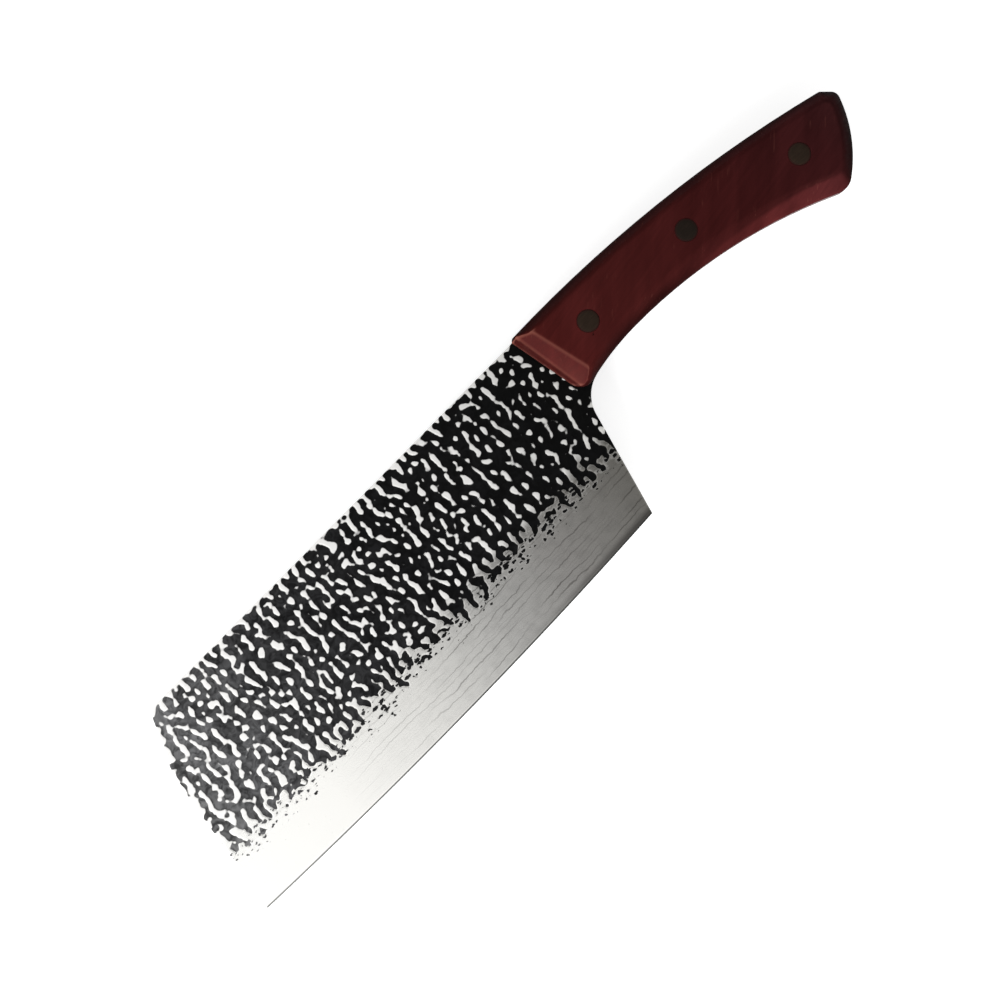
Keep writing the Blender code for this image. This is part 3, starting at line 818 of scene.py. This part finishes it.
@dataclass
class Blade:
    """The blade from the nose to the handle, as two hammered halves, and the tang between the scales.

    The outline and the thicknesses are the CAD's. Each half is a grid of columns across the blade
    and rows along it, denser on the hammered flat than on the bevel. border_mm is the height where
    the hammered flat ends, and bare_share the part of it that is bare, both by the place along x.
    """

    tip_x: float = -0.1868
    tip_y: float = -0.0728
    heel_x: float = -0.0068
    heel_y: float = -0.0716
    belly: float = 0.0021
    knee_y: float = -0.0205
    front_lean: float = 9.8
    nose_lean: float = 26.0
    knee_radius: float = 0.030
    spine_radius: float = 0.0055
    heel_lean: float = 15.8
    choil_centre: tuple = (0.0158, -0.03948)
    choil_radius: float = 0.013
    choil_end: tuple = (0.0130, -0.0269)
    choil_points: int = 14
    hidden_end_x: float = 0.0030
    tang_overlap: float = 0.0006

    half_thickness: float = 0.0015
    half_thickness_tip: float = 0.0011
    grind_angle: float = 2.7
    edge_angle: float = 17.0
    shoulder: float = 0.00025
    rim_ease: float = 0.0003
    rim_share: float = 0.6
    edge_blunt: float = 0.00001
    shoulder_support: float = 0.00008

    columns: int = 520
    flat_rows: int = 156
    bevel_depth: float = 0.0140
    bevel_rows: int = 16
    dent_depth: float = 0.00017
    smooth_below: float = 40.0
    tang_smooth_below: float = 30.0
    seeds: dict[Side, int] = field(default_factory=lambda: {Side.LEFT: 11, Side.RIGHT: 47})
    border_mm: tuple = (
        (-186, -52.9), (-150, -52.4), (-115, -52.7), (-98, -51.0), (-78, -50.6), (-58, -49.9), (-39, -49.4),
        (-19, -49.0), (0, -48.6),
    )
    bare_share: tuple = (
        (-184, 0.35), (-170, 0.31), (-150, 0.29), (-120, 0.27), (-90, 0.26), (-50, 0.24), (-25, 0.20),
        (0, 0.19),
    )
    dent_rim: float = -0.17
    dent_wall: float = 0.18

    def edge_y(self, x: np.ndarray) -> np.ndarray:
        """Height of the cutting edge along the blade.

        Args:
            x: Places along the blade.

        Returns:
            The edge's y at each place. Past either corner it stays level.
        """
        x = np.clip(x, self.tip_x, self.heel_x)
        chord = Vector((self.heel_x - self.tip_x, self.heel_y - self.tip_y))
        radius = (chord.length ** 2 / 4 + self.belly ** 2) / (2 * self.belly)
        up = Vector((-chord.y, chord.x)).normalized()
        middle = Vector(((self.heel_x + self.tip_x) / 2, (self.heel_y + self.tip_y) / 2))
        centre = middle + up * (radius - self.belly)
        return centre.y - np.sqrt(radius ** 2 - (x - centre.x) ** 2)

    def front_contour(self) -> np.ndarray:
        """The nose's outline.

        Returns:
            Its (y, x) pairs, from the edge up to the spine.
        """
        front, nose = (math.tan(math.radians(lean)) for lean in (self.front_lean, self.nose_lean))
        tip = (self.tip_x, self.tip_y)
        knee = (self.tip_x + (self.knee_y - self.tip_y) * front, self.knee_y)
        spine = (knee[0] - self.knee_y * nose, 0.0)
        points = [tip, *rounded(knee, tip, spine, self.knee_radius)]
        points += rounded(spine, knee, (0.0, 0.0), self.spine_radius)
        return np.array([(y, x) for x, y in points])

    def back_contour(self) -> np.ndarray:
        """The heel's outline and the blade's end under the scales.

        Returns:
            Its (y, x) pairs, from the edge up.
        """
        centre, end = Vector(self.choil_centre), Vector(self.choil_end)
        last = math.atan2(end.y - centre.y, end.x - centre.x)
        turns = np.linspace(math.pi - math.radians(self.heel_lean), last, self.choil_points)
        xs = [self.heel_x, *(centre.x + self.choil_radius * np.cos(turns)), self.hidden_end_x]
        ys = [self.heel_y, *(centre.y + self.choil_radius * np.sin(turns)), 0.0]
        return np.column_stack([ys, xs])

    def grid(self) -> tuple[np.ndarray, np.ndarray, np.ndarray]:
        """The grid's points in plan.

        Returns:
            x, y and distance from the edge, each of one row per line along the blade, edge first.
        """
        first = math.tan(math.radians(self.edge_angle))
        shoulder_at = self.shoulder / first
        past_shoulder = shoulder_at + self.shoulder_support
        bevel = np.linspace(past_shoulder, self.bevel_depth, self.bevel_rows)
        low = np.concatenate([[0.0, shoulder_at], bevel])[:, None]
        high = np.linspace(0, 1, self.flat_rows + 1)[1:, None]

        def heights(depth: np.ndarray) -> np.ndarray:
            """Height of each row's points where the blade is this deep."""
            upper = (self.bevel_depth - depth[len(low):]) * (1 - high)
            return np.concatenate([low - depth[:len(low)], upper])

        start, end = (
            np.interp(heights(np.full((len(low) + len(high), 1), -corner_y)), contour[:, 0], contour[:, 1])
            for corner_y, contour in ((self.tip_y, self.front_contour()), (self.heel_y, self.back_contour()))
        )
        x = start + (end - start) * np.linspace(0, 1, self.columns + 1)
        depth = -self.edge_y(x)
        y = heights(depth)
        return x, y, y + depth

    def smooth_height(self, x: np.ndarray, y: np.ndarray, from_edge: np.ndarray) -> np.ndarray:
        """Half thickness of the CAD's smooth blade.

        Args:
            x: Bench x of each point.
            y: Bench y of each point.
            from_edge: Each point's distance from the cutting edge.

        Returns:
            One height over the middle of the steel per point.
        """
        share = np.clip(x / self.tip_x, 0, 1)
        flat = self.half_thickness + (self.half_thickness_tip - self.half_thickness) * share
        steep, shallow = (math.tan(math.radians(angle)) for angle in (self.edge_angle, self.grind_angle))
        bevel = self.shoulder + (from_edge - self.shoulder / steep) * shallow
        honed = from_edge * steep
        height = np.minimum(np.minimum(flat, bevel), honed)
        eased = height - self.rim_ease + self.rim_distance(x, y)
        height = np.minimum(height, np.maximum(eased, height * self.rim_share))
        return np.maximum(height, self.edge_blunt)

    def rim_distance(self, x: np.ndarray, y: np.ndarray) -> np.ndarray:
        """Distance from the spine, the nose and the heel, whichever is nearest.

        Args:
            x: Bench x of each point.
            y: Bench y of each point.

        Returns:
            One distance per point.
        """
        front, back = self.front_contour(), self.back_contour()
        nose = (x - np.interp(y, front[:, 0], front[:, 1])) * math.cos(math.radians(self.front_lean))
        heel = (np.interp(y, back[:, 0], back[:, 1]) - x) * math.cos(math.radians(self.heel_lean))
        return np.minimum(np.minimum(nose, heel), -y)

    def skin(self, side: Side, x: np.ndarray, y: np.ndarray) -> tuple[np.ndarray, np.ndarray]:
        """How bare the steel is at each point, and how far below the hammered flat it lies.

        Args:
            side: The side of the blade.
            x: Bench x of each point.
            y: Bench y of each point.

        Returns:
            The bare mark, above 0 on bare steel, and millimetres below the end of the flat.
        """
        marks = HammerMarks(self.seeds[side])
        x_mm, y_mm = x * 1000, y * 1000
        worms, drift, tear, fingers = (
            marks.sample(values, x_mm, y_mm)
            for values in (marks.worms(), marks.drift(2, 14.0), marks.drift(3, 5.5), marks.drift(4, 14.0))
        )
        below = np.interp(x_mm, *zip(*self.border_mm)) - y_mm + drift * 0.8
        front = self.front_contour()
        nose = (x - np.interp(y, front[:, 0], front[:, 1])) * 1000 + drift
        bare = worms - 1 + np.interp(x_mm, *zip(*self.bare_share))
        for gain, place, stops, shares in (
            (1.0, y_mm, (-12.0, -5.0, -1.0), (0.0, 0.03, 0.06)),
            (1.0, below + 1.5 * tear, (-7.0, -2.6, -0.5, 0.8, 1.8), (0.0, 0.04, 0.2, 0.5, 1.0)),
            (np.clip(fingers, 0.0, 1.5), below, (-9.0, -4.0, -1.0), (0.0, 0.12, 0.24)),
            (1.0, nose, (0.0, 1.0, 3.0), (0.5, 0.2, 0.0)),
            (1.0, y_mm, (-1.4, -0.7, -0.3, 0.0), (0.0, 0.12, 0.35, 0.8)),
        ):
            bare += gain * np.interp(place, stops, shares)
        return bare, below

    def half(self, side: Side) -> Piece:
        """Model one hammered half of the blade.

        Args:
            side: The side of the blade.

        Returns:
            A closed mesh from the middle of the steel to the skin.
        """
        x, y, from_edge = self.grid()
        rows = x.shape[0]
        deselect()
        bpy.ops.mesh.primitive_grid_add(x_subdivisions=self.columns, y_subdivisions=rows - 1, size=1)
        piece = bpy.context.object
        piece.name = piece.data.name = f"blade_{side.word}_half"
        mesh = piece.data
        places = np.empty(len(mesh.vertices) * 3)
        mesh.vertices.foreach_get("co", places)
        places = places.reshape(-1, 3)
        order = np.lexsort((places[:, 0], places[:, 1]))

        bare, below = self.skin(side, x, y)
        height = self.smooth_height(x, y, from_edge)
        standing = np.clip((bare - self.dent_rim) / self.dent_wall, 0, 1)
        standing = standing * standing * (3 - 2 * standing)
        room = np.clip((height - self.edge_blunt) / self.half_thickness, 0, 1)
        height -= self.dent_depth * (1 - standing) * room
        origin = BENCH.origin
        places[order] = np.stack([
            (origin.x + x).ravel(), (origin.y + y).ravel(), (origin.z + side.value * height).ravel(),
        ], axis=1)
        mesh.vertices.foreach_set("co", places.ravel())
        for name, values in (("bare", bare), ("below_mm", below), ("edge_mm", from_edge * 1000)):
            mark = mesh.attributes.new(name, "FLOAT", "POINT")
            stored = np.empty(len(mesh.vertices))
            stored[order] = values.ravel()
            mark.data.foreach_set("value", stored)
        mesh.update()

        edit_all(piece)
        bpy.ops.mesh.region_to_loop()
        bpy.ops.mesh.extrude_edges_move()
        bpy.ops.transform.resize(value=(1, 1, 0), center_override=tuple(origin))
        bpy.ops.mesh.edge_face_add()
        bpy.ops.mesh.select_all(action="SELECT")
        bpy.ops.mesh.normals_make_consistent(inside=False)
        bpy.ops.object.mode_set(mode="OBJECT")
        bpy.ops.object.shade_smooth_by_angle(angle=math.radians(self.smooth_below))
        return piece

    def tang(self) -> Piece:
        """The CAD's tang, cut off under the scales where the halves end.

        Returns:
            The tang with its three holes.
        """
        piece = cad_copy("blade", "tang")
        edit_all(piece)
        start = BENCH.at(self.hidden_end_x - self.tang_overlap, 0, 0)
        end = BENCH.at(self.choil_end[0] - self.tang_overlap, self.choil_end[1], 0)
        along = end - start
        bpy.ops.mesh.bisect(
            plane_co=tuple(start), plane_no=(along.y, -along.x, 0), use_fill=True, clear_outer=True,
        )
        bpy.ops.object.mode_set(mode="OBJECT")
        even_normals(piece, self.tang_smooth_below)
        return piece

    def build(self) -> None:
        """Make the blade's three pieces and dress them."""
        steel = ForgedSteel().build()
        for side in Side:
            dress(self.half(side), steel, "blade")
        dress(self.tang(), TangSteel().build(), "blade")


def rivet_axes() -> list[Vector]:
    """A point on each rivet's axis, in the middle of its head."""
    boxes = [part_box(f"rivet_socket_{where}") for where in ("front", "middle", "rear")]
    return [(low + high) / 2 for low, high in boxes]


@dataclass(frozen=True)
class WoodSkin:
    """The outside of a scale as the CAD has it.

    Attributes:
        tree: The whole scale, to find the faces near a place.
        faces: The normal and the weight of each outside face, by its number.
        reach: How far from a place a face still counts.
    """

    tree: BVHTree
    faces: dict[int, tuple[Vector, float]]
    reach: float

    def mean_normal(self, place: Vector) -> Vector:
        """Mean normal of the outside round a place.

        Args:
            place: The place.

        Returns:
            The mean, which is shorter than 1 where the faces' normals disagree.
        """
        nearest: dict[int, float] = {}
        for _, _, index, distance in self.tree.find_nearest_range(place, self.reach):
            if index in self.faces:
                nearest[index] = min(distance, nearest.get(index, self.reach))
        total, heaviness = Vector(), 1e-9
        for index, distance in nearest.items():
            normal, size = self.faces[index]
            weight = size * (1 - distance / self.reach)
            total += normal * weight
            heaviness += weight
        return total / heaviness


@dataclass
class Handle:
    """The two wooden scales, the glue lines beside the tang and the three rivets."""

    ridge_reach: float = 0.0011
    ridge_gain: float = 14.0
    narrowest_inset: float = 0.0018
    surface_slack: float = 0.00005
    slice_height: float = 0.0015
    widest_weight: float = 2e-6
    hole_reach: float = 0.0045
    head_radius: float = 0.0037
    head_thickness: float = 0.0025
    head_ease: float = 0.00012
    tube_radius: float = 0.0025
    pin_radius: float = 0.0015
    around: int = 72
    rivet_smooth_below: float = 35.0
    axes: list[Vector] = field(default_factory=rivet_axes)
    middle_z: float = field(default_factory=lambda: BENCH.origin.z)
    flat_height: float = field(default_factory=lambda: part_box("handle_scale_left")[1].z - BENCH.origin.z)

    def scale(self, side: Side) -> Piece:
        """One wooden scale with even shading over its flats and rounded edges.

        Args:
            side: The side of the knife.

        Returns:
            The scale, which follows the CAD's faces.
        """
        piece = cad_copy(f"handle_scale_{side.word}", f"wooden_scale_{side.word}")
        skin = self.outside(piece, side)
        old_places = {vertex.co.to_tuple(7) for vertex in piece.data.vertices}
        select_faces(piece, self.wide_faces(piece, side))
        bpy.ops.mesh.inset(thickness=self.ridge_reach, use_boundary=True, use_even_offset=True)
        bpy.ops.object.mode_set(mode="OBJECT")
        self.unfold(piece, skin, old_places)
        self.slice_across(piece)
        self.blend_normals(piece, side, skin)
        return piece

    def outside(self, piece: Piece, side: Side) -> WoodSkin:
        """Note the outside of a scale before it is changed.

        Args:
            piece: The scale.
            side: The side of the knife.

        Returns:
            Its outside.
        """
        mesh = piece.data
        tree = BVHTree.FromPolygons(
            [vertex.co.copy() for vertex in mesh.vertices], [face.vertices[:] for face in mesh.polygons],
        )
        faces = {
            face.index: (face.normal.copy(), min(face.area / self.widest_weight, 1.0))
            for face in mesh.polygons if self.on_skin(face, side)
        }
        return WoodSkin(tree, faces, self.ridge_reach)

    def unfold(self, piece: Piece, skin: WoodSkin, old_places: set[tuple[float, ...]]) -> None:
        """Draw the inset's corners together where a face is too narrow for them.

        Args:
            piece: The scale, in object mode.
            skin: Its outside from before the inset.
            old_places: The places of its corners from before the inset.
        """
        mesh = piece.data
        outlying = {
            vertex.index for vertex in mesh.vertices
            if skin.tree.find_nearest(vertex.co)[3] > self.surface_slack
        }
        folded = [
            face.index for face in mesh.polygons
            if face.normal.dot(skin.mean_normal(face.center).normalized()) < -0.5
            or outlying.intersection(face.vertices)
        ]
        groups: list[set[int]] = []
        for index in folded:
            corners = {
                number for number in mesh.polygons[index].vertices
                if mesh.vertices[number].co.to_tuple(7) not in old_places
            }
            touching = [group for group in groups if group & corners]
            groups = [group for group in groups if not group & corners]
            groups.append(corners.union(*touching))
        for group in groups:
            middle = sum((mesh.vertices[number].co for number in group), Vector()) / max(len(group), 1)
            for number in group:
                mesh.vertices[number].co = skin.tree.find_nearest(middle)[0]
        mesh.update()
        edit_all(piece)
        bpy.ops.mesh.remove_doubles(threshold=WELD)
        bpy.ops.object.mode_set(mode="OBJECT")

    def on_skin(self, face: bpy.types.MeshPolygon, side: Side) -> bool:
        """Whether a face of a scale is outside, and not on the glue or in a rivet's hole.

        Args:
            face: The face.
            side: The side of the knife.

        Returns:
            True for a face of the outside.
        """
        if face.normal.z * side.value < -0.5:
            return False
        sunk = abs(face.center.z - self.middle_z) < self.flat_height - self.surface_slack
        return not (sunk and any((face.center - axis).xy.length < self.hole_reach for axis in self.axes))

    def wide_faces(self, piece: Piece, side: Side) -> set[int]:
        """The outside faces of a scale that are wide enough for a support line inside them.

        Args:
            piece: The scale.
            side: The side of the knife.

        Returns:
            The faces' numbers.
        """
        mesh = piece.data
        wide = set()
        for face in mesh.polygons:
            corners = [mesh.vertices[number].co for number in face.vertices]
            longest = max((corners[step] - corners[step - 1]).length for step in range(len(corners)))
            if self.on_skin(face, side) and face.area > longest * self.narrowest_inset:
                wide.add(face.index)
        return wide

    def slice_across(self, piece: Piece) -> None:
        """Cut the scale's faces along its length, so that a corner's shading doesn't spread.

        The ridges at the front and the butt run straight from corner to corner. With corners of
        their own on the way, each part of a ridge is shaded by the faces beside it.

        Args:
            piece: The scale, in object mode.
        """
        heights = [vertex.co.y for vertex in piece.data.vertices]
        count = round((max(heights) - min(heights)) / self.slice_height)
        bpy.ops.object.mode_set(mode="EDIT")
        for number in range(1, count):
            height = min(heights) + number * self.slice_height
            bpy.ops.mesh.select_all(action="SELECT")
            bpy.ops.mesh.bisect(plane_co=(0, height, 0), plane_no=(0, 1, 0))
        bpy.ops.object.mode_set(mode="OBJECT")

    def blend_normals(self, piece: Piece, side: Side, skin: WoodSkin) -> None:
        """Shade the ridges as softly as hand sanding leaves them, and mark them for the wood's painted
        highlight.

        Each corner of the skin gets the mean normal of the skin round it. Away from the ridges that
        is the face's own. Where the normals round it disagree, the "ridge" attribute rises to 1.

        Args:
            piece: The scale.
            side: The side of the knife.
            skin: Its outside as the CAD has it.
        """
        mesh = piece.data
        outer = {face.index for face in mesh.polygons if self.on_skin(face, side)}
        means: dict[int, Vector] = {}
        ridge = [0.0] * len(mesh.vertices)
        for number in {number for index in outer for number in mesh.polygons[index].vertices}:
            mean = skin.mean_normal(mesh.vertices[number].co)
            means[number] = mean.normalized()
            ridge[number] = min(1.0, self.ridge_gain * (1 - mean.length))
        corners = [
            means[number] if face.index in outer else face.normal
            for face in mesh.polygons for number in face.vertices
        ]
        mesh.shade_smooth()
        mesh.normals_split_custom_set(corners)
        mesh.attributes.new("ridge", "FLOAT", "POINT").data.foreach_set("value", ridge)

    def rivet_half(self, node: str) -> Piece:
        """One half of a rivet: the CAD's tube or pin under a finely turned head.

        Args:
            node: The CAD node that it stands for.

        Returns:
            The rivet half.
        """
        low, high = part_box(node)
        upward = "socket" in node
        outer, inner = (high.z, low.z) if upward else (low.z, high.z)
        way, shaft = (1, self.tube_radius) if upward else (-1, self.pin_radius)
        foot = outer - way * self.head_thickness
        middle = Vector(((low.x + high.x) / 2, (low.y + high.y) / 2, 0))
        deselect()
        bpy.ops.mesh.primitive_cylinder_add(
            vertices=self.around,
            radius=self.head_radius,
            depth=self.head_thickness,
            location=(middle.x, middle.y, outer - way * self.head_thickness / 2),
        )
        piece = bpy.context.object
        piece.name = piece.data.name = f"turned_{node}"
        bpy.ops.object.transform_apply(location=True, rotation=True, scale=True)
        self.pick_face(piece, outer)
        bpy.ops.mesh.bevel(offset=self.head_ease, segments=2, affect="EDGES")
        self.pick_face(piece, outer)
        bpy.ops.mesh.inset(thickness=self.head_radius * 0.5)
        self.pick_face(piece, foot)
        bpy.ops.mesh.inset(thickness=self.head_radius - shaft)
        bpy.ops.mesh.extrude_region_move()
        bpy.ops.transform.translate(value=(0, 0, inner - foot))
        bpy.ops.object.mode_set(mode="OBJECT")
        even_normals(piece, self.rivet_smooth_below)
        reaches = [(vertex.co - middle).xy.length * 1000 for vertex in piece.data.vertices]
        piece.data.attributes.new("from_axis_mm", "FLOAT", "POINT").data.foreach_set("value", reaches)
        return piece

    def pick_face(self, piece: Piece, height: float) -> None:
        """Select only the faces that lie level at a height, in edit mode.

        Args:
            piece: The piece.
            height: The faces' z.
        """
        bpy.ops.object.mode_set(mode="OBJECT")
        mesh = piece.data
        select_faces(piece, {
            face.index for face in mesh.polygons
            if all(abs(mesh.vertices[number].co.z - height) < WELD for number in face.vertices)
        })

    def build(self) -> None:
        """Make the handle's pieces and dress them."""
        wood, glue = DyedWood().build(), CuredEpoxy().build()
        for side in Side:
            dress(self.scale(side), wood, f"handle_scale_{side.word}")
            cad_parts[f"epoxy_bed_{side.word}"].material_slots[0].material = glue
        sanded = BlackedRivet().build()
        black = BlackedRivet("oil_blackened_steel_deep").build("#18130f", "#201914")
        for where, metal in (("front", sanded), ("middle", black), ("rear", sanded)):
            for half in ("socket", "pin"):
                node = f"rivet_{half}_{where}"
                dress(self.rivet_half(node), metal, node)


@dataclass
class Studio:
    """The floor that the knife lies on, the light round it and the camera above it."""

    view_centre: tuple = (-0.0387, -0.0332)
    view_right: tuple = (0.7025, -0.7117)
    view_up: tuple = (0.7117, 0.7025)
    view_width: float = 0.326
    view_height: float = 0.013
    camera_distance: float = 1.6
    floor_start_x: float = 0.007
    floor_slope: float = 0.0513
    floor_size: float = 8.0
    floor_glow: float = 0.74
    key_way: tuple = (-0.87, -0.32, 0.375)
    key_distance: float = 1.6
    key_size: float = 1.3
    key_watts: float = 43.0
    ambient: float = 0.45
    gloss_light: float = 1.18
    gloss_dim: float = 0.30
    dim_lean: float = 9.0
    dim_core: float = 4.0
    dim_reach: float = 16.0

    def floor(self) -> None:
        """A pale floor. It is tilted as the knife lies: on the handle and on the blade's nose."""
        deselect()
        bpy.ops.mesh.primitive_plane_add(size=self.floor_size)
        floor = bpy.context.object
        floor.name = floor.data.name = "floor"
        pivot = BENCH.at(self.floor_start_x, -0.035, 0)
        for vertex in floor.data.vertices:
            x, y = vertex.co.x, vertex.co.y
            vertex.co = (pivot.x + x, pivot.y + y, -x * self.floor_slope)
        look = Finish("pale_floor")
        seen: Socket | float = 0.0
        for kind in ("Camera", "Glossy", "Transmission"):
            seen = look.add("Math", seen, look.add("LightPath", out=f"Is {kind} Ray"), operation="MAXIMUM")
        floor.data.materials.append(look.surface({
            "Base Color": linear("#dcdcdc"),
            "Roughness": 0.9,
            "Specular IOR Level": 0.0,
            "Emission Color": linear("#ffffff"),
            "Emission Strength": look.add("Math", seen, self.floor_glow, operation="MULTIPLY"),
        }))

    def world(self) -> None:
        """An even sky. In reflections it is white but for the dim ceiling over the camera."""
        world = bpy.data.worlds.new("studio")
        bpy.context.scene.world = world
        sky = Nodes(world)
        lean, core, reach = (math.radians(angle) for angle in (self.dim_lean, self.dim_core, self.dim_reach))
        way = sky.add("TexCoord", out="Generated")
        toward = sky.add("VectorMath", way, (math.sin(lean), 0.0, math.cos(lean)), operation="DOT_PRODUCT")
        gloss = sky.add(
            "MapRange", toward, math.cos(reach), math.cos(core), self.gloss_light, self.gloss_dim, **EASED,
        )
        strength: Socket | float = self.ambient
        for kind, light in (("Glossy", gloss), ("Camera", 1.0), ("Transmission", 1.0)):
            strength = sky.add("Mix", sky.add("LightPath", out=f"Is {kind} Ray"), strength, light)
        ground = sky.tree.nodes["Background"]
        sky.put(linear("#ffffff"), ground.inputs["Color"])
        sky.put(strength, ground.inputs["Strength"])

    def key_light(self) -> None:
        """A large soft box low on the edge side of the nose."""
        aim = BENCH.at(*self.view_centre, 0)
        lamp = bpy.data.lights.new("key", "AREA")
        lamp.shape = "DISK"
        lamp.size = self.key_size
        lamp.energy = self.key_watts
        holder = bpy.data.objects.new("key", lamp)
        bpy.context.scene.collection.objects.link(holder)
        way = Vector(self.key_way).normalized()
        holder.location = aim + way * self.key_distance
        holder.rotation_euler = way.to_track_quat("Z", "Y").to_euler()

    def camera(self) -> None:
        """A long lens straight above the flat of the blade, turned as the photograph is."""
        lens = bpy.data.cameras.new("camera")
        lens.sensor_width = 36.0
        lens.lens = lens.sensor_width * self.camera_distance / self.view_width
        camera = bpy.data.objects.new("camera", lens)
        bpy.context.scene.collection.objects.link(camera)
        right, up = Vector((*self.view_right, 0)), Vector((*self.view_up, 0))
        turn = Matrix((right, up, right.cross(up))).transposed()
        centre = BENCH.at(*self.view_centre, 0)
        centre.z = self.view_height + self.camera_distance
        camera.matrix_world = Matrix.Translation(centre) @ turn.to_4x4()
        bpy.context.scene.camera = camera

    def build(self) -> None:
        """Set up the floor, the lights and the camera."""
        self.floor()
        self.world()
        self.key_light()
        self.camera()
        bpy.context.scene.view_settings.view_transform = "Standard"
        log.info("studio: floor, sky, key light and camera")


def main() -> None:
    """Build the knife's pieces in order, then the studio."""
    logging.basicConfig(level=logging.INFO, format="%(name)s: %(message)s")
    Blade().build()
    Handle().build()
    Studio().build()
    bpy.context.view_layer.update()


if __name__ == "__main__":
    main()
